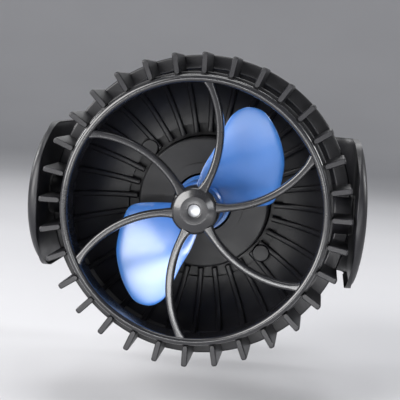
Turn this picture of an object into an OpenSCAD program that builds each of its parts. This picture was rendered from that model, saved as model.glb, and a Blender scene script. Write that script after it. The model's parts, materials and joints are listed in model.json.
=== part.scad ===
// Wave maker pump: magnet base, yoke, caged two-blade pump and outer holding magnet.
// The pump's axis lies along Y, the front grille faces -Y and the glass is on the +Y side.

/* [Cage and grille] */
// Radius over the tips of the cage fins
fin_tip_r = 52; // [51.8:0.1:52.2]
// Number of radial fins round the cage
fin_count = 32; // [28:4:32]
// Thickness of one fin
fin_t = 2; // [1.6:0.1:2.4]
// Outer radius of the grille's front ring
ring_r = 44.6; // [44.4:0.1:44.7]
// Inner radius of the grille's front ring
ring_bore_r = 42; // [41.6:0.1:42.2]
// Number of swept spokes in the grille
spoke_count = 6; // [3:3:6]
// Width of one spoke
spoke_w = 2.8; // [2:0.1:3]
// Outer radius of the grille's hub
grille_hub_r = 8; // [7.6:0.1:8.4]

/* [Rotor] */
// Tip radius of the impeller blades
blade_tip_r = 38.9; // [36:0.5:40]
// Number of impeller blades
blade_count = 2; // [2:1:3]
// How far a blade runs along the axis
blade_rise = 13; // [10:1:14]
// Thickness of a blade at its root
blade_root_t = 2.6; // [2:0.1:3]
// Radius of the ceramic shaft
shaft_r = 3; // [2.9:0.05:3.05]

/* [Motor] */
// Outer radius of the motor can
can_r = 23; // [22.8:0.1:23]
// Number of stator poles
pole_count = 6; // [6:3:9]

/* [Yoke] */
// Half the height of the yoke's strap
strap_half_h = 25; // [22:1:27]
// Distance from the yoke's bridge to the tilt axis
pivot_reach = 52; // [51:1:56]
// Radius of the pivot pins
pin_r = 2.5; // [2.3:0.1:2.7]

/* [Magnets] */
// Thickness of the aquarium glass between the two pads
glass_t = 12; // [8:1:15]
// Outer radius of the magnet housings
magnet_case_r = 32; // [31:0.5:34]

/* [Hidden] */
$fn = 96;
clear_run = 0.05;
bridge_rear = 21;
bridge_front = 28;
pivot_h = bridge_front + pivot_reach;
front_h = pivot_h + 30;
arm_in = fin_tip_r + 0.6;
arm_out = arm_in + 3.8;
bowl_r = 26;
bowl_in_r = 19;
bowl_h = front_h - 28;
arm_curve_r = 110;

// Stands a stack built upwards from the glass so that it points along -Y.
module from_glass() {
    rotate([90, 0, 0]) children();
}

// Ring or disc between two heights above the glass.
module ring(r_out, r_in, low, high) {
    translate([0, 0, low]) linear_extrude(high - low) difference() {
        circle(r_out);
        if (r_in > 0) circle(r_in);
    }
}

// Same, measured back from the grille's front face.
module back_ring(r_out, r_in, near, far) {
    ring(r_out, r_in, front_h - far, front_h - near);
}

function arc_points(c, r, a0, a1, n) =
    [for (i = [0:n]) c + r * [cos(a0 + (a1 - a0) * i / n), sin(a0 + (a1 - a0) * i / n)]];

// ---- magnet base, wet side ----

module base_housing() {
    color([0.05, 0.05, 0.06]) from_glass() difference() {
        union() {
            ring(magnet_case_r, 0, 2, 17);
            ring(magnet_case_r - 3, 0, 17, 20);
            translate([0, 0, 17]) rotate_extrude()
                translate([magnet_case_r - 3, 0]) intersection() {
                    circle(3);
                    square(3);
                }
            ring(9, 0, 20, 25);
        }
        ring(magnet_case_r - 2.5, 0, 1, 4);
        ring(26.3, 0, 3.9, 16);
        ring(1.75, 0, 17.5, 26);
    }
}

module base_magnet() {
    color([0.35, 0.35, 0.37]) from_glass() ring(26, 0, 4.2, 15.8);
}

module base_plate() {
    color([0.08, 0.08, 0.09]) from_glass() ring(magnet_case_r - 2.5, 0, 2.2, 3.9);
}

module base_pad() {
    color([0.12, 0.12, 0.13]) from_glass() union() {
        ring(magnet_case_r - 1, 0, 0, 2);
        ring(magnet_case_r - 2.9, 0, 1.9, 2.2);
    }
}

module swivel_ring() {
    color([0.1, 0.1, 0.1]) from_glass() ring(26, 9.4, 20, bridge_rear);
}

module swivel_washer() {
    color([0.75, 0.76, 0.78]) from_glass() ring(13.4, 1.9, 25, 26);
}

module swivel_screw() {
    color([0.72, 0.73, 0.75]) from_glass() difference() {
        union() {
            ring(1.75, 0, 18, 26.5);
            ring(3.4, 0, 26, 27.8);
        }
        translate([0, 0, 26.7]) cylinder(r = 1.5, h = 2, $fn = 6);
    }
}

// ---- yoke ----

// Plan of the strap: x across, y away from the glass.
module strap_plan() {
    out_x = arm_out + 0.4;
    in_x = arm_in;
    top = pivot_h + 26;
    polygon(concat(
        [[out_x, top]],
        arc_points([out_x - 20, bridge_rear + 20], 20, 0, -90, 24),
        arc_points([20 - out_x, bridge_rear + 20], 20, -90, -180, 24),
        [[-out_x, top], [-in_x, top]],
        arc_points([14 - in_x, bridge_front + 14], 14, 180, 270, 24),
        arc_points([in_x - 14, bridge_front + 14], 14, 270, 360, 24),
        [[in_x, top]]
    ));
}

// Side outline of the strap: x away from the glass, y up.
module strap_side() {
    h = strap_half_h;
    polygon(concat(
        arc_points([pivot_h, 0], h, 90, -90, 32),
        arc_points([bridge_rear + 6, 6 - h], 6, -90, -180, 8),
        arc_points([bridge_rear + 6, h - 6], 6, 180, 90, 8)
    ));
}

// Lens seen along the axis, which rounds the arms' outer faces.
module strap_front() {
    intersection() {
        translate([arm_out - arm_curve_r, 0]) circle(arm_curve_r, $fn = 360);
        translate([arm_curve_r - arm_out, 0]) circle(arm_curve_r, $fn = 360);
        square([2 * arm_out + 2, 2 * strap_half_h + 4], center = true);
    }
}

module yoke() {
    color([0.05, 0.05, 0.06]) difference() {
        intersection() {
            translate([0, 0, -strap_half_h - 1]) linear_extrude(2 * strap_half_h + 2)
                scale([1, -1]) strap_plan();
            rotate([90, 0, 90]) translate([0, 0, -arm_out - 2])
                linear_extrude(2 * arm_out + 4) scale([-1, 1]) strap_side();
            from_glass() translate([0, 0, bridge_rear - 1])
                linear_extrude(pivot_h + 30) strap_front();
        }
        from_glass() ring(9.06, 0, bridge_rear - 1, bridge_front + 1);
        from_glass() ring(14, 0, 25, bridge_front + 1);
        translate([0, -pivot_h, 0]) rotate([0, 90, 0])
            cylinder(r = pin_r, h = 2 * arm_out + 10, center = true);
        for (side = [0, 1]) translate([0, -pivot_h, 0]) rotate([0, 0, 180 * side])
            translate([arm_out - 1.7, 0, 0]) rotate([0, 90, 0]) cylinder(r = 4.6, h = 5);
    }
}

module pivot_pins() {
    color([0.09, 0.09, 0.1])
        for (side = [0, 1]) translate([0, -pivot_h, 0]) rotate([0, 0, 180 * side])
            difference() {
                union() {
                    translate([46.2, 0, 0]) rotate([0, 90, 0])
                        cylinder(r = pin_r, h = arm_out - 1 - 46.2);
                    translate([arm_out - 1.7, 0, 0]) rotate([0, 90, 0])
                        cylinder(r = 4.4, h = 1.5);
                }
                translate([arm_out - 1, 0, 0]) rotate([0, 90, 0])
                    cylinder(r = 1.8, h = 2, $fn = 6);
            }
}

module tilt_washers() {
    color([0.15, 0.15, 0.16])
        for (side = [0, 1]) translate([0, -pivot_h, 0]) rotate([0, 0, 180 * side])
            translate([fin_tip_r, 0, 0]) rotate([0, 90, 0]) difference() {
                cylinder(r = 6.6, h = 0.6);
                translate([0, 0, -1]) cylinder(r = pin_r + 0.1, h = 3);
            }
}

// ---- rear cage ----

// Side outline of one fin: x is the radius, y the height.
module fin_outline() {
    polygon(concat(
        [[45, front_h - 1.6], [fin_tip_r - 0.8, front_h - 1.6], [fin_tip_r, front_h - 2.4]],
        arc_points([bowl_r, bowl_h], bowl_r, 0, -90, 16),
        [[24.6, bowl_h - bowl_r], [24.6, bowl_h - bowl_in_r]],
        arc_points([bowl_r, bowl_h], bowl_in_r, -90, 0, 16)
    ));
}

module rear_cage() {
    slot_turn = 20;
    color([0.05, 0.05, 0.06]) difference() {
        from_glass() difference() {
            union() {
                for (i = [0:fin_count - 1]) rotate([0, 0, 360 * i / fin_count])
                    translate([0, fin_t / 2, 0]) rotate([90, 0, 0])
                        linear_extrude(fin_t) fin_outline();
                back_ring(45.6, 43.5, 7, 15);
                back_ring(51.5, 46.6, 27, 33);
                rotate_extrude() polygon(concat(
                    arc_points([bowl_r, bowl_h], bowl_r - 1.6, -85, -20, 10),
                    arc_points([bowl_r, bowl_h], bowl_in_r + 1.6, -20, -85, 10)
                ));
                back_ring(31, can_r + 0.2, 50.5, 54);
                for (a = [45:90:315]) rotate([0, 0, a + 5.625])
                    translate([27.3, 0, front_h - 54]) cylinder(r = 3.1, h = 8);
                for (a = [0, 180]) rotate([0, 0, a]) translate([45.2, 0, pivot_h])
                    rotate([0, 90, 0]) cylinder(r = 7, h = fin_tip_r - 45.2);
            }
            for (a = [45:90:315]) rotate([0, 0, a + 5.625])
                translate([27.3, 0, front_h - 55]) cylinder(r = 1.3, h = 7.5);
            for (a = [30:120:270]) {
                translate([0, 0, front_h - 12.6]) rotate([0, 0, a - 5])
                    rotate_extrude(angle = 10.5 + slot_turn) translate([43, 0])
                        square([1.9, 3.2]);
                translate([0, 0, front_h - 11]) rotate([0, 0, a + slot_turn - 4.8])
                    rotate_extrude(angle = 9.6) translate([42.8, 0]) square([2, 5]);
            }
        }
        translate([0, -pivot_h, 0]) rotate([0, 90, 0])
            cylinder(r = pin_r + clear_run, h = 120, center = true);
    }
}

// ---- motor ----

module motor_housing() {
    color([0.06, 0.06, 0.07]) from_glass() difference() {
        union() {
            back_ring(can_r, 0, 38, 67);
            back_ring(31, 0, 54, 56.5);
            translate([0, 0, front_h - 61.5]) rotate([-90, 0, 0]) cylinder(r = 5.4, h = 24.5);
        }
        back_ring(21, 0, 40, 68);
        back_ring(11.6, 0, 37, 41);
        translate([0, 0, front_h - 61.5]) rotate([-90, 0, 0]) cylinder(r = 3.8, h = 40);
        for (a = [45:90:315]) rotate([0, 0, a + 5.625])
            translate([27.3, 0, front_h - 57]) cylinder(r = 1.5, h = 3.2);
    }
}

module rotor_well() {
    color([0.1, 0.1, 0.11]) from_glass() difference() {
        union() {
            back_ring(14, 0, 36.4, 38);
            back_ring(11.6, 0, 37, 67.4);
        }
        back_ring(10.5, 0, 36, 62.4);
        back_ring(8.6, 0, 62, 66.2);
    }
}

module stator_core() {
    color([0.45, 0.45, 0.47]) from_glass() difference() {
        union() {
            back_ring(20.9, 17.8, 43, 58);
            for (i = [0:pole_count - 1]) rotate([0, 0, 360 * i / pole_count])
                translate([12.2, -2, front_h - 58]) cube([6.4, 4, 15]);
            for (i = [0:pole_count - 1]) rotate([0, 0, 360 * i / pole_count])
                translate([11.9, -4, front_h - 58]) cube([1.5, 8, 15]);
        }
        back_ring(11.8, 0, 42, 59);
    }
}

module stator_coils() {
    color([0.7, 0.38, 0.2]) from_glass()
        for (i = [0:pole_count - 1]) rotate([0, 0, 360 * i / pole_count]) difference() {
            translate([13.6, -3.7, front_h - 59.8]) cube([3.2, 7.4, 18.6]);
            translate([13, -2.1, front_h - 58.1]) cube([5, 4.2, 15.2]);
        }
}

module potting() {
    color([0.12, 0.1, 0.09]) from_glass() difference() {
        back_ring(20.9, 11.8, 60, 63.2);
        translate([0, 0, front_h - 61.5]) rotate([-90, 0, 0]) cylinder(r = 3, h = 40);
    }
}

module rear_bearing() {
    color([0.88, 0.87, 0.84]) from_glass() back_ring(5.6, shaft_r + clear_run, 62.8, 66);
}

module bearing_cushion() {
    color([0.14, 0.14, 0.14]) from_glass() back_ring(8.5, 5.7, 62.8, 66);
}

module motor_seal() {
    color([0.5, 0.1, 0.08]) from_glass() translate([0, 0, front_h - 65.2])
        rotate_extrude() translate([20.15, 0]) circle(0.75, $fn = 32);
}

module motor_end_cap() {
    color([0.07, 0.07, 0.08]) from_glass() difference() {
        union() {
            back_ring(can_r, 0, 67.1, 69);
            back_ring(20.8, 0, 64, 67.2);
            translate([0, 0, front_h - 73]) rotate_extrude() polygon(concat(
                [[0, 4.2], [can_r, 4.2]],
                arc_points([can_r - 4, 4], 4, 0, -90, 12),
                [[0, 0]]
            ));
        }
        back_ring(17.5, 0, 63, 69.5);
        back_ring(22, 19.3, 64.4, 66);
    }
}

module cage_screws() {
    color([0.74, 0.75, 0.77]) from_glass()
        for (a = [45:90:315]) rotate([0, 0, a + 5.625])
            translate([27.3, 0, front_h - 58.5]) difference() {
                union() {
                    cylinder(r = 2.6, h = 2);
                    cylinder(r = 1.3, h = 10.4);
                }
                translate([0, 0, -1]) cylinder(r = 1.2, h = 2.1, $fn = 6);
            }
}

module gland_body() {
    color([0.06, 0.06, 0.07]) from_glass() translate([0, 0, front_h - 61.5])
        rotate([-90, 0, 0]) difference() {
            union() {
                translate([0, 0, 21.2]) cylinder(r = 3.8, h = 4);
                translate([0, 0, 24.5]) cylinder(r = 5.2, h = 2, $fn = 6);
                translate([0, 0, 26.5]) cylinder(r = 4, h = 5);
            }
            translate([0, 0, 20]) cylinder(r = 2.9, h = 8);
            translate([0, 0, 27.5]) cylinder(r = 3.4, h = 8);
        }
}

module gland_seal() {
    color([0.16, 0.16, 0.17]) from_glass() translate([0, 0, front_h - 61.5])
        rotate([-90, 0, 0]) difference() {
            translate([0, 0, 27.6]) cylinder(r = 3.3, h = 5.6);
            translate([0, 0, 26]) cylinder(r = 2.5, h = 9);
        }
}

module gland_nut() {
    color([0.07, 0.07, 0.08]) from_glass() translate([0, 0, front_h - 61.5])
        rotate([-90, 0, 0]) difference() {
            union() {
                translate([0, 0, 27]) cylinder(r = 5.4, h = 5, $fn = 6);
                translate([0, 0, 31.9]) cylinder(r1 = 4.6, r2 = 3.8, h = 2.6);
            }
            translate([0, 0, 26]) cylinder(r = 4.05, h = 5.7);
            translate([0, 0, 30]) cylinder(r = 3.4, h = 3.3);
            translate([0, 0, 33]) cylinder(r = 3, h = 3);
        }
}

// ---- front grille ----

// One swept spoke as a band of an arc, in the plane of the grille.
module spoke_plan() {
    c = 38.01 * [cos(140.71), sin(140.71)];
    polygon(concat(
        arc_points(c, 36.1 + spoke_w / 2, -28.6, 30.8, 24),
        arc_points(c, 36.1 - spoke_w / 2, 30.8, -28.6, 24)
    ));
}

module front_grille() {
    bead = (ring_r - ring_bore_r) / 2;
    color([0.05, 0.05, 0.06]) from_glass() difference() {
        union() {
            rotate_extrude() translate([ring_bore_r + bead, front_h - bead]) polygon(concat(
                arc_points([0, 0], bead, 0, 180, 12),
                [[-bead, bead - 6.5], [bead, bead - 6.5]]
            ));
            back_ring(43.2, ring_bore_r, 6.4, 12.4);
            for (i = [0:spoke_count - 1]) rotate([0, 0, 360 * i / spoke_count])
                translate([0, 0, front_h - 4.6]) linear_extrude(3.8) spoke_plan();
            rotate_extrude() translate([0, front_h - 12]) polygon(concat(
                [[0, 0], [grille_hub_r, 0]],
                arc_points([grille_hub_r - 2.5, 9.5], 2.5, 0, 90, 8),
                [[0, 12]]
            ));
            for (a = [30:120:270]) translate([0, 0, front_h - 12.4]) rotate([0, 0, a - 4])
                rotate_extrude(angle = 8) translate([43, 0]) square([1.6, 2.6]);
        }
        back_ring(5.5, 0, 1.6, 13);
        back_ring(2, 0, -1, 2);
    }
}

module front_bearing() {
    color([0.1, 0.1, 0.11]) from_glass() back_ring(5.5, shaft_r + clear_run, 1.6, 12);
}

// ---- rotor ----

blade_front = [[7, 98], [14, 86], [21.6, 77], [31.9, 75], [36, 71], [38, 67], [39, 62]];
blade_back = [[7, -1], [20, 2], [24.6, 4.5], [26.6, 11], [29.3, 21], [33.4, 33], [37, 48], [39, 58]];

function blade_r(i, n) = 7 + (blade_tip_r - 7) * (1 - pow(1 - i / n, 1.4));
function blade_a(i, j, n, m) =
    let (r = blade_r(i, n), a0 = lookup(r, blade_back), a1 = lookup(r, blade_front))
    a0 + (a1 - a0) * (1 - cos(180 * j / m)) / 2;
function blade_reach(r) = 0.7 + 0.3 * min(1, (r - 7) / 9);
function blade_half_t(i, j, n, m) =
    let (s = i / n, e = 2 * j / m - 1)
    (blade_root_t * (1 - s) + 1.3 * s) / 2 * (1 - 0.75 * pow(abs(e), 3));
function blade_point(i, j, n, m, side) =
    let (r = blade_r(i, n), a = blade_a(i, j, n, m))
    [r * cos(a), r * sin(a),
        front_h - 20.5 + blade_rise * blade_reach(r) * (a - 45) / 70
            + side * blade_half_t(i, j, n, m)];

module blade() {
    n = 14;
    m = 14;
    w = m + 1;
    half = (n + 1) * w;
    points = concat(
        [for (i = [0:n]) for (j = [0:m]) blade_point(i, j, n, m, 1)],
        [for (i = [0:n]) for (j = [0:m]) blade_point(i, j, n, m, -1)]
    );
    top = [for (i = [0:n - 1]) for (j = [0:m - 1]) each [
        [i * w + j, i * w + j + 1, (i + 1) * w + j + 1],
        [i * w + j, (i + 1) * w + j + 1, (i + 1) * w + j]
    ]];
    bottom = [for (f = top) [f[2] + half, f[1] + half, f[0] + half]];
    root = [for (j = [0:m - 1]) each [
        [j, j + half, j + 1 + half],
        [j, j + 1 + half, j + 1]
    ]];
    tip = [for (j = [0:m - 1]) each [
        [n * w + j, n * w + j + 1, n * w + j + 1 + half],
        [n * w + j, n * w + j + 1 + half, n * w + j + half]
    ]];
    low = [for (i = [0:n - 1]) each [
        [i * w, (i + 1) * w, (i + 1) * w + half],
        [i * w, (i + 1) * w + half, i * w + half]
    ]];
    high = [for (i = [0:n - 1]) each [
        [i * w + m, i * w + m + half, (i + 1) * w + m + half],
        [i * w + m, (i + 1) * w + m + half, (i + 1) * w + m]
    ]];
    polyhedron(points, concat(top, bottom, root, tip, low, high), convexity = 4);
}

module impeller() {
    color([0.2, 0.5, 0.92]) from_glass() difference() {
        union() {
            for (i = [0:blade_count - 1]) rotate([0, 0, 360 * i / blade_count]) blade();
            rotate_extrude() translate([0, front_h - 35.4]) polygon(concat(
                [[0, 0], [8.6, 0]],
                arc_points([6.1, 18.6], 2.5, 0, 90, 8),
                [[0, 21.1]]
            ));
        }
        back_ring(shaft_r + 0.02, 0, 10, 40);
    }
}

module shaft() {
    color([0.9, 0.9, 0.87]) from_glass() union() {
        back_ring(shaft_r, 0, 3, 65.6);
        translate([0, 0, front_h - 3.01]) rotate_extrude() polygon(concat(
            [[0, 0], [shaft_r, 0]],
            [[shaft_r - 0.6, 0.8], [0, 1.2]]
        ));
    }
}

module rotor_magnet() {
    color([0.3, 0.3, 0.32]) from_glass() back_ring(8.9, shaft_r, 37.6, 60.4);
}

module rotor_sleeve() {
    color([0.16, 0.3, 0.55]) from_glass() difference() {
        back_ring(9.7, shaft_r, 36.4, 61.6);
        back_ring(8.9, 0, 37.6, 60.4);
    }
}

module thrust_washers() {
    color([0.85, 0.83, 0.78]) from_glass() {
        back_ring(5.2, shaft_r, 12.3, 13.8);
        back_ring(5.2, shaft_r, 61.7, 62.5);
    }
}

// ---- outer magnet, dry side ----

module outer_housing() {
    color([0.05, 0.05, 0.06]) rotate([-90, 0, 0]) translate([0, 0, glass_t]) difference() {
        rotate_extrude() polygon(concat(
            [[0, 2], [magnet_case_r, 2], [magnet_case_r, 10]],
            arc_points([magnet_case_r + 1.6, 14.5], 4.6, 210, 140, 10),
            arc_points([magnet_case_r - 4, 20], 4, 0, 90, 10),
            [[0, 24]]
        ));
        translate([0, 0, 1]) cylinder(r = magnet_case_r - 2.5, h = 3);
        translate([0, 0, 3.9]) cylinder(r = 26.3, h = 14.1);
        for (i = [0:23]) rotate([0, 0, 15 * i]) translate([magnet_case_r + 1, 0, 17])
            cylinder(r = 1.9, h = 10);
    }
}

module outer_magnet() {
    color([0.35, 0.35, 0.37]) rotate([-90, 0, 0]) translate([0, 0, glass_t + 4.2])
        cylinder(r = 26, h = 13.6);
}

module outer_plate() {
    color([0.08, 0.08, 0.09]) rotate([-90, 0, 0]) translate([0, 0, glass_t + 2.2])
        cylinder(r = magnet_case_r - 2.5, h = 1.7);
}

module outer_pad() {
    color([0.16, 0.16, 0.18]) rotate([-90, 0, 0]) translate([0, 0, glass_t]) union() {
        cylinder(r = magnet_case_r - 1, h = 2);
        cylinder(r = magnet_case_r - 2.9, h = 2.2);
    }
}

base_housing();
base_magnet();
base_plate();
base_pad();
swivel_ring();
swivel_washer();
swivel_screw();
yoke();
pivot_pins();
tilt_washers();
rear_cage();
motor_housing();
rotor_well();
stator_core();
stator_coils();
potting();
rear_bearing();
bearing_cushion();
motor_seal();
motor_end_cap();
cage_screws();
gland_body();
gland_seal();
gland_nut();
front_grille();
front_bearing();
impeller();
shaft();
rotor_magnet();
rotor_sleeve();
thrust_washers();
outer_housing();
outer_magnet();
outer_plate();
outer_pad();
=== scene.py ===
import json
import math

import bmesh
import bpy
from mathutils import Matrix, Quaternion, Vector


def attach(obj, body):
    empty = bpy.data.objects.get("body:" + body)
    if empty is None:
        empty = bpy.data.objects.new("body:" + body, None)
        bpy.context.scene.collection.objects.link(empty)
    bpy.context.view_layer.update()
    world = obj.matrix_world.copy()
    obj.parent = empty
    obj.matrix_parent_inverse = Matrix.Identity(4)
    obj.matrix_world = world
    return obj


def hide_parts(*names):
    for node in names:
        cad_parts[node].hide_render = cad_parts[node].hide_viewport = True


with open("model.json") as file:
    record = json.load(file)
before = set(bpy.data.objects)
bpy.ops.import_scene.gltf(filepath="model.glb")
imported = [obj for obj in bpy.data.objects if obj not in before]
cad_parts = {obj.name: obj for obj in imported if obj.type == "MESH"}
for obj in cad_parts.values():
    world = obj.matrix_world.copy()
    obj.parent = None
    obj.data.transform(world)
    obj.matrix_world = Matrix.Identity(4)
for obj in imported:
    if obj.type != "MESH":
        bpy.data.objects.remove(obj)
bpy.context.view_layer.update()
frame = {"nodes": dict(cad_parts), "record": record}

# The moulded pieces are in millimetres, with heights measured from the glass towards the water.
# Materials and the stage are in metres.
MM = 0.001
TURN = 2 * math.pi
FRONT = 110.0               # height of the grille's face
PIVOT = 80.0                # height of the tilt axis

RING_R = 43.3               # middle of the grille's ring
RING_BEAD = 1.3
SKIRT_R = 42.0              # inside of the grille's skirt
RIM_R = 44.6                # outside of the grille's rim and of its bayonet lugs
SKIRT_END = 97.6
SPOKES = 6
SPOKE_R = 36.1              # every spoke is an arc of this radius
SPOKE_CENTRE = (38.01, 140.71)  # radius and degrees of the first arc's centre
SPOKE_ARC = (-28.6, 31.0)   # degrees where an arc starts and ends
SPOKE_HALF_T = 1.9
HUB_R = 8.0
HUB_END = 98.0

BLADE_ROOT = 7.2
BLADE_H = FRONT - 20.5      # height of a blade at 45 degrees
BLADE_LIFT = 13.0           # climb of a blade over 70 degrees, less near its root
BLADE_ROOT_T, BLADE_TIP_T = 2.5, 1.25
# radius and degrees of the points that the smoothed edges follow, from root to tip
FRONT_EDGE = [(7, 98), (14, 86), (21.6, 77), (31.9, 75), (36, 71), (38, 67), (39, 62)]
BACK_EDGE = [(7, -1), (20, 2), (24.6, 4.5), (26.6, 11), (29.3, 21), (33.4, 33), (37, 48), (39, 58)]

FINS = 32
FIN_T = 2.0
FIN_IN, FIN_TIP = 45.0, 52.0
BOWL = (26.0, 82.0)         # centre of the arc that the fins follow to the rear
REAR_IN = 23.2
REAR_LOW = 56.0             # rear face of the cage, on the motor's flange

ARM_HALF_W = 25.0
ARM_IN, ARM_OUT = 52.6, 56.8
ARM_ROUND = 2.4
ARM_CROWN_R = 110.0         # crown across an arm's outer face
ARM_TIP = 105.0
BRIDGE_LOW, BRIDGE_TOP = 21.0, 28.0

MAGNET_R = 32.0
PLATE_R = 29.5
GRIPS = 24
CAN_R = 23.0
FLANGE_R = 31.0
CAN_RIBS = 28
GLAND_H = 48.5              # height of the cord gland's axis


# ---------- outlines ----------

def place(x, h, z):
    return Vector((x * MM, -h * MM, z * MM))


def polar(r, degrees):
    t = math.radians(degrees)
    return r * math.cos(t), r * math.sin(t)


def circle(r, count):
    return [(r * math.cos(TURN * k / count), r * math.sin(TURN * k / count)) for k in range(count)]


def arc(centre, r, start, end, steps):
    """Points from start to end, both included, with the angles in degrees."""
    points = []
    for k in range(steps + 1):
        x, y = polar(r, start + (end - start) * k / steps)
        points.append((centre[0] + x, centre[1] + y))
    return points


def rounded(points, radius, steps=5):
    """The closed outline with its corners rounded by radius, or by a third value of a point."""
    out = []
    for i, p in enumerate(points):
        r = p[2] if len(p) > 2 else radius
        corner = Vector(p[:2])
        u = Vector(points[i - 1][:2]) - corner
        v = Vector(points[(i + 1) % len(points)][:2]) - corner
        len_u, len_v = u.length, v.length
        u.normalize()
        v.normalize()
        half = math.acos(max(-1.0, min(1.0, u.dot(v)))) / 2
        nearly_straight = half > 1.55
        if r <= 0 or nearly_straight:
            out.append((corner.x, corner.y))
            continue
        cut = min(r / math.tan(half), 0.48 * len_u, 0.48 * len_v)
        r = cut * math.tan(half)
        centre = corner + (u + v).normalized() * (r / math.sin(half))
        first, last = corner + u * cut - centre, corner + v * cut - centre
        start = math.atan2(first.y, first.x)
        sweep = (math.atan2(last.y, last.x) - start + math.pi) % TURN - math.pi
        for k in range(steps + 1):
            t = start + sweep * k / steps
            out.append((centre.x + r * math.cos(t), centre.y + r * math.sin(t)))
    return out


def block(r0, r1, h0, h1):
    return [(r0, h0), (r1, h0), (r1, h1), (r0, h1)]


# ---------- meshes ----------

def grid(bm, rows, close_u=False, close_v=False):
    """Faces between rows of points, leaving out the ones that have shrunk to a line."""
    made = [[bm.verts.new(p) for p in row] for row in rows]
    nu, nv = len(made), len(made[0])
    for i in range(nu if close_u else nu - 1):
        for j in range(nv if close_v else nv - 1):
            a, b = made[i], made[(i + 1) % nu]
            k = (j + 1) % nv
            corners = [a[j], a[k], b[k], b[j]]
            if len({v.co.to_tuple(9) for v in corners}) > 2:
                bm.faces.new(corners)
    return made


def sweep_solid(bm, rows):
    """A tube through closed rows, with both of its ends capped."""
    made = grid(bm, rows, close_v=True)
    bm.faces.new(made[0])
    bm.faces.new(made[-1][::-1])


def lathe(bm, profile, segments=160, closed=True, centre=(0, 0)):
    rows = []
    for x, z in circle(1, segments):
        rows.append([place(centre[0] + r * x, h, centre[1] + r * z) for r, h in profile])
    grid(bm, rows, close_u=True, close_v=closed)


def link_object(name, data):
    obj = bpy.data.objects.new(name, data)
    bpy.context.scene.collection.objects.link(obj)
    return obj


def cutter(rows):
    """A closed drum from two rings, to be cut out of a piece."""
    bm = bmesh.new()
    sweep_solid(bm, rows)
    bmesh.ops.recalc_face_normals(bm, faces=bm.faces)
    mesh = bpy.data.meshes.new("cutter")
    bm.to_mesh(mesh)
    bm.free()
    return link_object("cutter", mesh)


def finish_piece(name, bm, body, node, material, sharp_angle=40, cuts=()):
    """Turn bm into the piece that stands for a node, and cut its holes."""
    bmesh.ops.remove_doubles(bm, verts=bm.verts, dist=1e-7)
    bmesh.ops.recalc_face_normals(bm, faces=bm.faces)
    mesh = bpy.data.meshes.new(name)
    bm.to_mesh(mesh)
    bm.free()
    obj = link_object(name, mesh)
    for drum in cuts:
        hole = obj.modifiers.new("cut", "BOOLEAN")
        hole.operation = "DIFFERENCE"
        hole.solver = "EXACT"
        hole.object = drum
    if cuts:
        shape = obj.evaluated_get(bpy.context.evaluated_depsgraph_get())
        mesh = bpy.data.meshes.new_from_object(shape)
        obj.modifiers.clear()
        obj.data = mesh
        for drum in cuts:
            bpy.data.objects.remove(drum)
    mesh.shade_smooth()
    mesh.set_sharp_from_angle(angle=math.radians(sharp_angle))
    mesh.materials.append(MATERIALS[material])
    flat = obj.modifiers.new("flat_faces", "WEIGHTED_NORMAL")
    flat.keep_sharp = True
    flat.weight = 80
    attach(obj, body)
    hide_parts(node)


# ---------- shader helpers ----------

def new_material(name):
    material = bpy.data.materials.new(name)
    material.use_nodes = True
    nt = material.node_tree
    nt.nodes.clear()
    out = nt.nodes.new("ShaderNodeOutputMaterial")
    bsdf = nt.nodes.new("ShaderNodeBsdfPrincipled")
    nt.links.new(bsdf.outputs["BSDF"], out.inputs["Surface"])
    return material, nt, bsdf


def noise(nt, scale, detail, rough, stretch=None):
    coords = nt.nodes.new("ShaderNodeTexCoord").outputs["Object"]
    texture = nt.nodes.new("ShaderNodeTexNoise")
    texture.inputs["Scale"].default_value = scale
    texture.inputs["Detail"].default_value = detail
    texture.inputs["Roughness"].default_value = rough
    if stretch:
        mapping = nt.nodes.new("ShaderNodeMapping")
        mapping.inputs["Scale"].default_value = stretch
        nt.links.new(coords, mapping.inputs["Vector"])
        coords = mapping.outputs["Vector"]
    nt.links.new(coords, texture.inputs["Vector"])
    return texture.outputs["Fac"]


def ramp(nt, value, stops):
    node = nt.nodes.new("ShaderNodeValToRGB")
    elements = node.color_ramp.elements
    while len(elements) < len(stops):
        elements.new(0.5)
    for element, (position, colour) in zip(elements, stops):
        element.position = position
        element.color = (*colour, 1)
    nt.links.new(value, node.inputs["Fac"])
    return node.outputs["Color"]


def span(nt, value, low, high):
    """Stretch the middle of a noise over the range from low to high."""
    node = nt.nodes.new("ShaderNodeMapRange")
    node.inputs["From Min"].default_value = 0.3
    node.inputs["From Max"].default_value = 0.7
    node.inputs["To Min"].default_value = low
    node.inputs["To Max"].default_value = high
    nt.links.new(value, node.inputs["Value"])
    return node.outputs[0]


def calc(nt, a, operation, b):
    node = nt.nodes.new("ShaderNodeMath")
    node.operation = operation
    nt.links.new(a, node.inputs[0])
    if isinstance(b, float):
        node.inputs[1].default_value = b
    else:
        nt.links.new(b, node.inputs[1])
    return node.outputs[0]


def bump(nt, bsdf, height, strength, distance):
    node = nt.nodes.new("ShaderNodeBump")
    node.inputs["Strength"].default_value = strength
    node.inputs["Distance"].default_value = distance
    nt.links.new(height, node.inputs["Height"])
    nt.links.new(node.outputs["Normal"], bsdf.inputs["Normal"])


def scuffed(nt, colour, amount):
    """The colour with fine pale lines over it."""
    line = noise(nt, 420, 8, 0.75, (0.12, 1, 1))
    mask = ramp(nt, line, [(0.6, (0, 0, 0)), (0.68, (1, 1, 1))])
    mix = nt.nodes.new("ShaderNodeMix")
    mix.data_type = "RGBA"
    nt.links.new(calc(nt, mask, "MULTIPLY", amount), mix.inputs["Factor"])
    nt.links.new(colour, mix.inputs["A"])
    mix.inputs["B"].default_value = (0.16, 0.16, 0.17, 1)
    return mix.outputs["Result"]


# ---------- materials ----------

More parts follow.
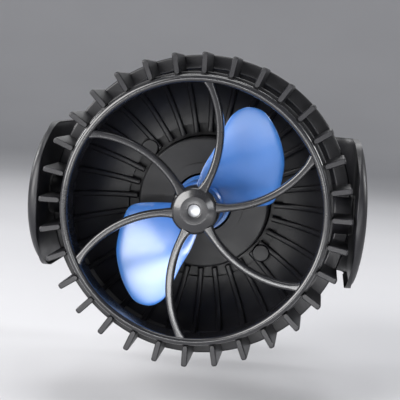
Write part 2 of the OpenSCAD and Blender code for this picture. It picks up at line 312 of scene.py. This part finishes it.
def plastic(name, dark, light, rough, grain, coat=0.0, scuff=0.0):
    """Moulded plastic: cloudy colour, smears in the gloss, spark-eroded grain and fine scuffs."""
    material, nt, bsdf = new_material(name)
    colour = ramp(nt, noise(nt, 28, 5, 0.55), [(0.3, dark), (0.72, light)])
    if scuff:
        colour = scuffed(nt, colour, scuff)
    nt.links.new(colour, bsdf.inputs["Base Color"])
    smear = noise(nt, 60, 6, 0.7, (1, 0.35, 1))
    nt.links.new(span(nt, smear, *rough), bsdf.inputs["Roughness"])
    fine = noise(nt, 2600, 2, 0.5)
    lumps = calc(nt, noise(nt, 240, 3, 0.5), "MULTIPLY", 1.6)
    bump(nt, bsdf, calc(nt, fine, "ADD", lumps), grain, 0.00006)
    bsdf.inputs["IOR"].default_value = 1.5
    if coat:
        bsdf.inputs["Coat Weight"].default_value = coat
        bsdf.inputs["Coat Roughness"].default_value = 0.12
    return material


def rubber(name, dark, light):
    material, nt, bsdf = new_material(name)
    colour = ramp(nt, noise(nt, 45, 6, 0.65), [(0.3, dark), (0.75, light)])
    nt.links.new(colour, bsdf.inputs["Base Color"])
    nt.links.new(span(nt, noise(nt, 130, 4, 0.6), 0.62, 0.9), bsdf.inputs["Roughness"])
    bump(nt, bsdf, noise(nt, 1500, 4, 0.7), 0.5, 0.00012)
    return material


def metal(name, base):
    """Metal with fine lines drawn along it."""
    material, nt, bsdf = new_material(name)
    bsdf.inputs["Metallic"].default_value = 1.0
    lines = noise(nt, 300, 6, 0.7, (0.15, 1, 1))
    colour = ramp(nt, lines, [(0.25, [c * 0.72 for c in base]), (0.75, base)])
    nt.links.new(colour, bsdf.inputs["Base Color"])
    wear = noise(nt, 700, 5, 0.7, (1, 1, 0.1))
    nt.links.new(span(nt, wear, 0.22, 0.48), bsdf.inputs["Roughness"])
    bump(nt, bsdf, lines, 0.25, 0.00004)
    return material


def ceramic(name, base):
    material, nt, bsdf = new_material(name)
    colour = ramp(nt, noise(nt, 220, 5, 0.6), [(0.3, [c * 0.86 for c in base]), (0.7, base)])
    nt.links.new(colour, bsdf.inputs["Base Color"])
    nt.links.new(span(nt, noise(nt, 500, 4, 0.6), 0.1, 0.26), bsdf.inputs["Roughness"])
    bump(nt, bsdf, noise(nt, 900, 3, 0.5), 0.08, 0.00005)
    bsdf.inputs["Coat Weight"].default_value = 0.4
    return material


def blade_blue(name):
    """Glossy blue moulding, deeper towards the hub, with flow lines under a soft coat."""
    material, nt, bsdf = new_material(name)
    coords = nt.nodes.new("ShaderNodeTexCoord").outputs["Object"]
    axes = nt.nodes.new("ShaderNodeSeparateXYZ")
    nt.links.new(coords, axes.inputs["Vector"])
    xx = calc(nt, axes.outputs["X"], "MULTIPLY", axes.outputs["X"])
    zz = calc(nt, axes.outputs["Z"], "MULTIPLY", axes.outputs["Z"])
    radius = calc(nt, calc(nt, xx, "ADD", zz), "POWER", 0.5)
    wobble = calc(nt, noise(nt, 70, 3, 0.5), "MULTIPLY", 0.22)
    outward = calc(nt, calc(nt, radius, "MULTIPLY", 22.0), "ADD", wobble)
    hub_blue, middle_blue, tip_blue = (0.018, 0.11, 0.40), (0.03, 0.17, 0.55), (0.042, 0.20, 0.60)
    colour = ramp(nt, outward, [(0.2, hub_blue), (0.55, middle_blue), (0.98, tip_blue)])
    nt.links.new(colour, bsdf.inputs["Base Color"])
    nt.links.new(span(nt, noise(nt, 90, 6, 0.7), 0.27, 0.42), bsdf.inputs["Roughness"])
    flow = noise(nt, 150, 4, 0.5, (0.3, 1, 1))
    fine = calc(nt, noise(nt, 1900, 2, 0.5), "MULTIPLY", 0.25)
    bump(nt, bsdf, calc(nt, flow, "ADD", fine), 0.16, 0.0001)
    bsdf.inputs["Specular IOR Level"].default_value = 1.0
    bsdf.inputs["Coat Weight"].default_value = 1.0
    bsdf.inputs["Coat Roughness"].default_value = 0.26
    bsdf.inputs["Subsurface Weight"].default_value = 0.08
    bsdf.inputs["Subsurface Radius"].default_value = (0.002, 0.004, 0.008)
    return material


MATERIALS = {
    "black_plastic": plastic("black_plastic", (0.005, 0.005, 0.0065), (0.013, 0.013, 0.016),
                             (0.33, 0.50), 0.35, scuff=0.08),
    "grille_plastic": plastic("grille_plastic", (0.006, 0.006, 0.0075), (0.014, 0.014, 0.016),
                              (0.20, 0.30), 0.12, coat=0.5),
    "motor_plastic": plastic("motor_plastic", (0.006, 0.006, 0.0075), (0.015, 0.015, 0.018),
                             (0.36, 0.55), 0.4, scuff=0.08),
    "gland_plastic": plastic("gland_plastic", (0.012, 0.012, 0.013), (0.028, 0.028, 0.031),
                             (0.38, 0.56), 0.4),
    "pin_plastic": plastic("pin_plastic", (0.012, 0.012, 0.014), (0.03, 0.03, 0.034),
                           (0.3, 0.46), 0.25),
    "bearing_plastic": plastic("bearing_plastic", (0.010, 0.014, 0.035), (0.022, 0.03, 0.07),
                               (0.22, 0.36), 0.15, coat=0.3),
    "sleeve_plastic": plastic("sleeve_plastic", (0.02, 0.12, 0.42), (0.05, 0.22, 0.62),
                              (0.22, 0.38), 0.15, coat=0.4),
    "epoxy": plastic("epoxy", (0.012, 0.010, 0.008), (0.03, 0.024, 0.02),
                     (0.15, 0.3), 0.2, coat=0.5),
    "blue_blade": blade_blue("blue_blade"),
    "ceramic_white": ceramic("ceramic_white", (0.80, 0.82, 0.86)),
    "washer_ceramic": ceramic("washer_ceramic", (0.78, 0.76, 0.70)),
    "ferrite": ceramic("ferrite", (0.12, 0.12, 0.125)),
    "pad_rubber": rubber("pad_rubber", (0.014, 0.014, 0.015), (0.04, 0.04, 0.042)),
    "soft_rubber": rubber("soft_rubber", (0.02, 0.02, 0.021), (0.05, 0.05, 0.052)),
    "seal_rubber": rubber("seal_rubber", (0.20, 0.035, 0.025), (0.33, 0.07, 0.05)),
    "pad_felt": rubber("pad_felt", (0.03, 0.03, 0.034), (0.08, 0.08, 0.085)),
    "core_iron": metal("core_iron", (0.42, 0.42, 0.44)),
    "copper_winding": metal("copper_winding", (0.62, 0.30, 0.14)),
    "stainless": metal("stainless", (0.66, 0.67, 0.69)),
}

slot_of = {p["node"]: p["material_slot"] for p in frame["record"]["subparts"]}
for node, obj in frame["nodes"].items():
    obj.data.materials.clear()
    obj.data.materials.append(MATERIALS[slot_of[node]])


# ---------- front grille: beaded ring, swept spokes, hub and bayonet lugs ----------

def grille_ring(bm):
    section = arc((RING_R, FRONT - RING_BEAD), RING_BEAD, 0, 180, 14)
    section += [(SKIRT_R, FRONT - 4.2), (SKIRT_R, 103.9)]
    section += [(SKIRT_R + 0.05, SKIRT_END + 0.15), (42.3, SKIRT_END), (43.0, SKIRT_END)]
    section += [(43.2, SKIRT_END + 0.2), (43.2, 103.3), (43.35, 103.5)]
    section += [(RIM_R - 0.2, 103.5), (RIM_R, 103.7), (RIM_R, 107.0)]
    lathe(bm, section, 220)
    # lies just under the bead's surface
    inner_line = [(RING_R + 0.42 * x, FRONT - 0.28 + 0.28 * y) for x, y in circle(1, 10)]
    lathe(bm, inner_line, 220)


def grille_spoke(bm, turn):
    """One arc from the hub to the ring, wider where it joins either of them, with a slight sag between."""
    centre_x, centre_z = polar(SPOKE_CENTRE[0], SPOKE_CENTRE[1] + turn)
    start, end = SPOKE_ARC
    steps = 44
    hub_share, ring_share = 0.14, 0.12
    rows = []
    for k in range(steps + 1):
        t = k / steps
        near_hub = max(0, 1 - t / hub_share)
        near_ring = max(0, (t - 1 + ring_share) / ring_share)
        flare = 1 + 0.4 * near_hub ** 2 + 0.4 * near_ring ** 2
        low, top = 1.4 * flare, 1.2 * flare
        corners = [(-low, -SPOKE_HALF_T), (low, -SPOKE_HALF_T), (top, SPOKE_HALF_T), (-top, SPOKE_HALF_T)]
        middle_h = FRONT - 2.7 - 0.25 * math.sin(math.pi * t)
        row = []
        for u, w in rounded(corners, 0.85):
            x, z = polar(SPOKE_R + u, turn + start + (end - start) * t)
            row.append(place(centre_x + x, middle_h + w, centre_z + z))
        rows.append(row)
    sweep_solid(bm, rows)


def bayonet_lug(bm, middle):
    section = rounded(block(43.0, RIM_R, SKIRT_END, 100.2), 0.3, 3)
    rows = []
    for k in range(7):
        x, z = polar(1, middle - 4 + 8 * k / 6)
        rows.append([place(r * x, h, r * z) for r, h in section])
    sweep_solid(bm, rows)


bm = bmesh.new()
grille_ring(bm)
for s in range(SPOKES):
    grille_spoke(bm, 360 * s / SPOKES)
hub = [(2.0, FRONT - 1.6), (2.0, FRONT, 0.5), (4.6, FRONT, 0.3), (HUB_R, FRONT - 1.1, 2.2)]
hub += [(HUB_R, HUB_END, 0.5), (5.5, HUB_END, 0.3), (5.5, FRONT - 1.6)]
lathe(bm, rounded(hub, 0.15, 6), 96)
for middle in (30, 150, 270):
    bayonet_lug(bm, middle)
finish_piece("front_grille_moulding", bm, "front_grille", "front_grille", "grille_plastic")


# ---------- impeller: two wide twisted blades on a hub ----------

def corner_cut(points):
    cut = [points[0]]
    for p, q in zip(points, points[1:]):
        cut += [p.lerp(q, 0.25), p.lerp(q, 0.75)]
    return cut + [points[-1]]


def blade_sides():
    """The smoothed outline of a blade, as the angle of its front and back edge at each radius."""
    outline = [Vector(polar(r, a)) for r, a in FRONT_EDGE + BACK_EDGE[::-1]]
    for _ in range(4):
        outline = corner_cut(outline)
    tip = max(range(len(outline)), key=lambda k: outline[k].length)
    sides = [(p.length, math.degrees(math.atan2(p.y, p.x))) for p in outline]
    return sides[:tip + 1], sides[tip:][::-1]


def angle_at(r, side):
    for (r0, a0), (r1, a1) in zip(side, side[1:]):
        if r <= r1:
            return a0 + (a1 - a0) * max(0, r - r0) / (r1 - r0)
    return side[-1][1]


def half_thickness(r, s, e):
    """Half a blade's thickness, with s from root to tip, and e from -1 to 1 across it."""
    half = (BLADE_ROOT_T * (1 - s) + BLADE_TIP_T * s) / 2
    half *= math.sqrt(max(0.0, 1 - abs(e) ** 5 * 0.94))
    half *= math.sqrt(max(0.03, 1 - s ** 14))
    root_fillet = 1.3 * math.exp(-(r - BLADE_ROOT) / 1.6) * (1 - e * e)
    return half + root_fillet


def blade(bm, start, along=52, across=46):
    """A closed blade, with its rows and columns closer together towards the tip and the edges."""
    front_side, back_side = blade_sides()
    reach = front_side[-1][0] - 0.02 - BLADE_ROOT
    faces = []
    for face in (1, -1):
        rows = []
        for i in range(along + 1):
            s = i / along
            r = BLADE_ROOT + reach * (1 - (1 - s) ** 1.6)
            a0, a1 = angle_at(r, back_side), angle_at(r, front_side)
            climb = BLADE_LIFT * (0.7 + 0.3 * min(1.0, (r - 7) / 9))
            row = []
            for j in range(across + 1):
                a = a0 + (a1 - a0) * (1 - math.cos(math.pi * j / across)) / 2
                e = 2 * (a - a0) / max(1e-6, a1 - a0) - 1
                x, z = polar(r, a + start)
                h = BLADE_H + climb * (a - 45) / 70 + face * half_thickness(r, s, e)
                row.append(place(x, h, z))
            rows.append(row)
        faces.append(grid(bm, rows))
    up, down = faces
    for i in (0, -1):
        for j in range(across):
            bm.faces.new([up[i][j], up[i][j + 1], down[i][j + 1], down[i][j]])
    for j in (0, across):
        for i in range(along):
            bm.faces.new([up[i][j], up[i + 1][j], down[i + 1][j], down[i][j]])


bm = bmesh.new()
for start in (0, 180):
    blade(bm, start)
hub = [(3.0, 74.6), (8.6, 74.6, 0.5), (8.6, 92.6, 2.6), (6.2, 95.7, 2.4), (3.0, 95.7, 0.3)]
lathe(bm, rounded(hub, 0.2, 7), 96)
finish_piece("impeller_moulding", bm, "rotor", "impeller", "blue_blade", 50)


# ---------- rear cage: radial fins, band, hoop, shoulder, rear ring and bosses ----------

def fin_path():
    """Pairs of inner and outer points, from a fin's front end along the bowl to its rear end."""
    front = FRONT - 1.6
    path = []
    for k in range(8):
        h = front - (front - BOWL[1]) * k / 8
        path.append(((FIN_IN, h), (FIN_TIP, h)))
    inner = arc(BOWL, FIN_IN - BOWL[0], 0, -90, 22)
    outer = arc(BOWL, FIN_TIP - BOWL[0], 0, -90, 22)
    return path + list(zip(inner, outer)) + [((24.6, 63.0), (24.6, REAR_LOW))]


def fin(bm, angle):
    """A bar swept along the fin's path, with its front end rounded over in three steps."""
    cos_a, sin_a = math.cos(angle), math.sin(angle)
    nose = [(0.0, 0.35), (-0.22, 0.72), (-0.62, 0.95)]
    full_size = [(0.0, 1.0)]
    rows = []
    for index, (inner, outer) in enumerate(fin_path()):
        width = math.hypot(outer[0] - inner[0], outer[1] - inner[1])
        ux, uy = (outer[0] - inner[0]) / width, (outer[1] - inner[1]) / width
        for drop, share in nose if index == 0 else full_size:
            half_t = FIN_T * (0.55 + 0.45 * share) / 2
            end = width - (1 - share) * 0.9
            row = []
            for u, v in rounded(block(0, end, -half_t, half_t), 0.7, 4):
                r, h = inner[0] + ux * u, inner[1] + uy * u + drop
                row.append(place(r * cos_a - v * sin_a, h, r * sin_a + v * cos_a))
            rows.append(row)
    sweep_solid(bm, rows)


def pivot_boss(bm, side):
    """A short tube round the tilt axis, on one side of the cage."""
    section = [(45.3, 2.6), (45.3, 6.4), (45.8, 6.9), (46.3, 7.0)]
    section += [(51.5, 7.0), (51.9, 6.8), (FIN_TIP, 6.5), (FIN_TIP, 2.6)]
    rows = [[place(side * x, PIVOT + y, z) for y, z in circle(r, 40)] for x, r in section]
    grid(bm, rows, close_u=True, close_v=True)


bm = bmesh.new()
for f in range(FINS):
    fin(bm, TURN * f / FINS)
lathe(bm, rounded(block(43.5, 45.6, 95, 103), 0.4, 4), 200)
lathe(bm, rounded(block(46.6, 51.5, 77, 83), 0.7, 4), 200)
lathe(bm, arc(BOWL, 24.4, -85, -20, 26) + arc(BOWL, 20.6, -20, -85, 26), 180)
lathe(bm, rounded(block(REAR_IN, FLANGE_R, REAR_LOW, REAR_LOW + 3.5), 0.5, 4), 140)
for quarter in range(4):
    screw_boss = [(0.0, 63.9, 0), (3.1, 63.9), (3.1, REAR_LOW + 0.05), (0.0, REAR_LOW + 0.05, 0)]
    lathe(bm, rounded(screw_boss, 0.5, 4), 32, centre=polar(27.3, 50.625 + 90 * quarter))
for side in (1, -1):
    pivot_boss(bm, side)
finish_piece("rear_cage_moulding", bm, "pump", "rear_cage", "black_plastic")


# ---------- yoke: U-shaped strap with rounded arms ----------

def yoke_stations():
    """Inner point, outer point and crown, from one arm's tip round the bridge to the other's."""
    bend, inner_bend_r, outer_bend_r = 42.0, 14, 20
    steps = []
    for k in range(41):
        h = ARM_TIP - (ARM_TIP - bend) * (k / 40) ** 2
        steps.append(((ARM_IN, h), (ARM_OUT, h), 1.0))
    for k in range(1, 25):
        a = -90 * k / 25
        x, y = polar(inner_bend_r, a)
        inner = (ARM_IN - inner_bend_r + x, bend + y)
        x, y = polar(outer_bend_r, a)
        outer = (ARM_OUT - outer_bend_r + x, bend - 1 + y)
        steps.append((inner, outer, math.cos(math.radians(a)) ** 2))
    for k in range(12):
        x = 37.0 * (1 - k / 12)
        steps.append(((x, BRIDGE_TOP), (x, BRIDGE_LOW), 0.0))
    middle = ((0.0, BRIDGE_TOP), (0.0, BRIDGE_LOW), 0.0)
    mirrored = [((-a[0], a[1]), (-b[0], b[1]), crown) for a, b, crown in steps[::-1]]
    return steps + [middle] + mirrored


def yoke_row(inner, outer, crown, count=40):
    """One cross-section of the strap, with its edges rounded over."""
    inner, outer = Vector(inner), Vector(outer)
    height = (inner.y + outer.y) / 2
    half_w = ARM_HALF_W
    if height > PIVOT:
        half_w = math.sqrt(max(0.04, ARM_HALF_W ** 2 - (height - PIVOT) ** 2))
    outward = (outer - inner).normalized()
    across = [(True, -1 + 2 * k / count) for k in range(count + 1)]
    across += [(False, 1 - 2 * k / count) for k in range(count + 1)]
    row = []
    for outer_face, v in across:
        z = half_w * math.sin(v * math.pi / 2)
        inset = ARM_HALF_W - math.hypot(max(0.0, height - PIVOT), z)
        left = min(ARM_ROUND, max(0.0, ARM_ROUND - inset))
        soft = ARM_ROUND - math.sqrt(ARM_ROUND ** 2 - left ** 2)
        if outer_face:
            fall = (ARM_CROWN_R - math.sqrt(ARM_CROWN_R ** 2 - z * z) + 0.4) * crown
            point = outer - outward * (fall + soft)
        else:
            point = inner + outward * soft * 0.3
        row.append(place(point.x, point.y, z))
    return row


bm = bmesh.new()
sweep_solid(bm, [yoke_row(*station) for station in yoke_stations()])
holes = []
for side in (1, -1):
    holes.append(cutter([[place(side * x, PIVOT + y, z) for y, z in circle(4.6, 48)] for x in (54.7, 60.0)]))
for r, low, top, count in ((14, 25.0, 32.0, 72), (9.06, 18.0, 27.0, 60)):
    holes.append(cutter([[place(x, h, z) for x, z in circle(r, count)] for h in (low, top)]))
finish_piece("yoke_strap", bm, "yoke", "yoke", "black_plastic", 32, holes)


# ---------- wet magnet's housing ----------

bm = bmesh.new()
wet_case = [(0, 2.05, 0), (PLATE_R, 2.05, 0.1), (PLATE_R + 0.1, 2.0, 0.2), (MAGNET_R, 2.0, 0.7)]
wet_case += [(MAGNET_R, 20, 3.2), (9.0, 20, 0.5), (9.0, 25, 0.4), (1.8, 25, 0.2), (1.8, 18, 0.1), (0, 18, 0)]
lathe(bm, rounded(wet_case, 0.3, 7), 180, closed=False)
# three rings flush with the case's side
for k in range(3):
    low = 5.2 + 3.4 * k
    flush_ring = [(31.6, low), (MAGNET_R, low + 0.2), (MAGNET_R, low + 1.2), (31.6, low + 1.4)]
    lathe(bm, rounded(flush_ring, 0.15, 3), 180)
finish_piece("base_housing_moulding", bm, "magnet_base", "base_housing", "black_plastic")


# ---------- dry magnet's housing, with grips round its rim ----------

bm = bmesh.new()
dry_case = [(0, -14.05, 0), (PLATE_R, -14.05, 0.1), (PLATE_R + 0.1, -14.0, 0.2), (MAGNET_R, -14.0, 0.7)]
dry_case += [(MAGNET_R, -21.6, 1.2), (28.9, -26.4, 4.5), (MAGNET_R, -30.6, 1.5), (MAGNET_R, -36, 4.2)]
dry_case += [(20, -36, 1.5), (19, -35.2, 1.5), (0, -35.0, 0)]
dry_case = rounded(dry_case, 0.4, 8)
rows = []
for k in range(360):
    a = TURN * k / 360
    dip = 0.95 * max(0.0, math.cos(GRIPS * a)) ** 3
    row = []
    for r, h in dry_case:
        on_grip = min(1.0, max(0.0, (-29.6 - h) / 1.2)) * min(1.0, max(0.0, (r - 25) / 4.0))
        cut_r = r - dip * on_grip
        row.append(place(cut_r * math.cos(a), h, cut_r * math.sin(a)))
    rows.append(row)
grid(bm, rows, close_u=True)
finish_piece("outer_housing_moulding", bm, "outer_magnet", "outer_housing", "black_plastic")


# ---------- motor can, with ribs and the cord gland's boss ----------

def can_rib(bm, middle):
    half_angle = 0.028
    rows = []
    for h, lift in ((44.0, -0.25), (44.6, 0.27), (52.0, 0.27), (52.8, -0.25)):
        row = []
        for k in range(9):
            t = -1 + 2 * k / 8
            r = CAN_R - 0.05 + lift * math.cos(t * math.pi / 2)
            a = middle + t * half_angle
            row.append(place(r * math.cos(a), h, r * math.sin(a)))
        rows.append(row)
    grid(bm, rows)


bm = bmesh.new()
can = [(11.6, 70.0), (11.6, 72.0, 0.2), (CAN_R, 72.0, 1.0), (CAN_R, REAR_LOW, 0.25)]
can += [(FLANGE_R, REAR_LOW, 0.5), (FLANGE_R, 53.5, 0.7), (CAN_R, 53.5, 0.9), (CAN_R, 43.0, 0.25)]
can += [(21, 43.0, 0.2), (21, 70.0)]
lathe(bm, rounded(can, 0.3, 6))
for k in range(CAN_RIBS):
    middle = TURN * (k + 0.5) / CAN_RIBS
    clear_of_gland = abs(math.sin(middle) - 1) >= 0.09
    if clear_of_gland:
        can_rib(bm, middle)
rows = []
for z, r in ((20.0, 5.4), (23.9, 5.4), (24.3, 5.25), (24.5, 4.9), (24.5, 3.2), (20.0, 3.2)):
    rows.append([place(x, GLAND_H + y, z) for y, x in circle(r, 56)])
grid(bm, rows, close_v=True)
finish_piece("motor_can_moulding", bm, "pump", "motor_housing", "motor_plastic")


# ---------- motor's end cap ----------

bm = bmesh.new()
end_cap = [(0, 37.0, 0), (CAN_R, 37.0, 4.6), (CAN_R, 42.9, 0.4), (20.7, 42.9, 0.1), (20.7, 46.0, 0.3)]
end_cap += [(17.5, 46.0, 0.2), (17.5, 41.0, 0.2), (0, 41.0, 0)]
lathe(bm, rounded(end_cap, 0.3, 9), closed=False)
fine_ring = [(9.0, 37.3), (9.0, 36.98), (10.0, 36.98), (10.0, 37.3)]
lathe(bm, rounded(fine_ring, 0.1, 2), 100)
finish_piece("motor_cap_moulding", bm, "pump", "motor_end_cap", "motor_plastic")


# ---------- stage, in metres ----------

FLOOR = -0.068
FLAT_R, CURVE_R = 1.5, 1.1

bm = bmesh.new()
dish = [(0.3, FLOOR), (0.8, FLOOR), (FLAT_R, FLOOR)]
dish += arc((FLAT_R, FLOOR + CURVE_R), CURVE_R, -85, -10, 15)
made = grid(bm, [[Vector((r * x, r * y, z)) for r, z in dish] for x, y in circle(1, 96)], close_u=True)
bm.faces.new([row[0] for row in made])
mesh = bpy.data.meshes.new("studio_sweep")
bm.to_mesh(mesh)
bm.free()
mesh.shade_smooth()
sweep = link_object("studio_sweep", mesh)
material, nt, bsdf = new_material("pale_sweep")
pale = ramp(nt, noise(nt, 3, 3, 0.5), [(0.3, (0.58, 0.58, 0.60)), (0.7, (0.63, 0.63, 0.65))])
nt.links.new(pale, bsdf.inputs["Base Color"])
bsdf.inputs["Roughness"].default_value = 0.75
mesh.materials.append(material)


def area(name, at, aim, width, height, power, colour=(1, 1, 1)):
    light = bpy.data.lights.new(name, "AREA")
    light.shape = "RECTANGLE"
    light.size = width
    light.size_y = height
    light.energy = power
    light.color = colour
    lamp = link_object(name, light)
    lamp.location = at
    lamp.rotation_euler = (Vector(aim) - Vector(at)).to_track_quat("-Z", "Y").to_euler()
    lamp.visible_camera = False


pump = (0, -0.08, 0)
area("key", (-0.85, -1.07, 0.50), pump, 0.92, 1.1, 31.0, (1.0, 0.99, 0.98))
area("top", (0.0, -0.12, 0.95), pump, 0.55, 0.55, 4.0)
area("inner_right", (0.36, -0.70, 0.12), pump, 0.15, 0.15, 0.6, (0.95, 0.97, 1.0))
area("low_front", (0.0, -0.36, -0.058), (0, -0.11, -0.045), 0.30, 0.02, 0.3)
area("side_left", (-0.80, 0.24, 0.36), pump, 0.28, 0.28, 3.2)
area("side_right", (0.80, 0.13, 0.44), pump, 0.28, 0.28, 3.2)
area("rim", (0.0, 0.75, 0.55), pump, 0.5, 0.5, 1.5)

world = bpy.data.worlds.new("studio")
world.use_nodes = True
background = world.node_tree.nodes["Background"]
background.inputs["Color"].default_value = (0.86, 0.89, 0.95, 1)
background.inputs["Strength"].default_value = 0.22
bpy.context.scene.world = world


# ---------- camera, in front of the grille, a little to the right and above ----------

AZIMUTH, ELEVATION, ROLL = math.radians(4.5), math.radians(4.5), math.radians(4)
DISTANCE = 0.50

lens = bpy.data.cameras.new("camera")
lens.lens = 132.0
lens.sensor_width = 36.0
lens.clip_start = 0.01
lens.clip_end = 20
camera = link_object("camera", lens)
aim = Vector((0.0, -0.088, 0.002))
back = Vector((math.sin(AZIMUTH) * math.cos(ELEVATION), -math.cos(AZIMUTH) * math.cos(ELEVATION),
               math.sin(ELEVATION)))
camera.location = aim + back * DISTANCE
camera.rotation_euler = ((-back).to_track_quat("-Z", "Y") @ Quaternion((0, 0, 1), ROLL)).to_euler()
bpy.context.scene.camera = camera
bpy.context.scene.view_settings.view_transform = "Standard"
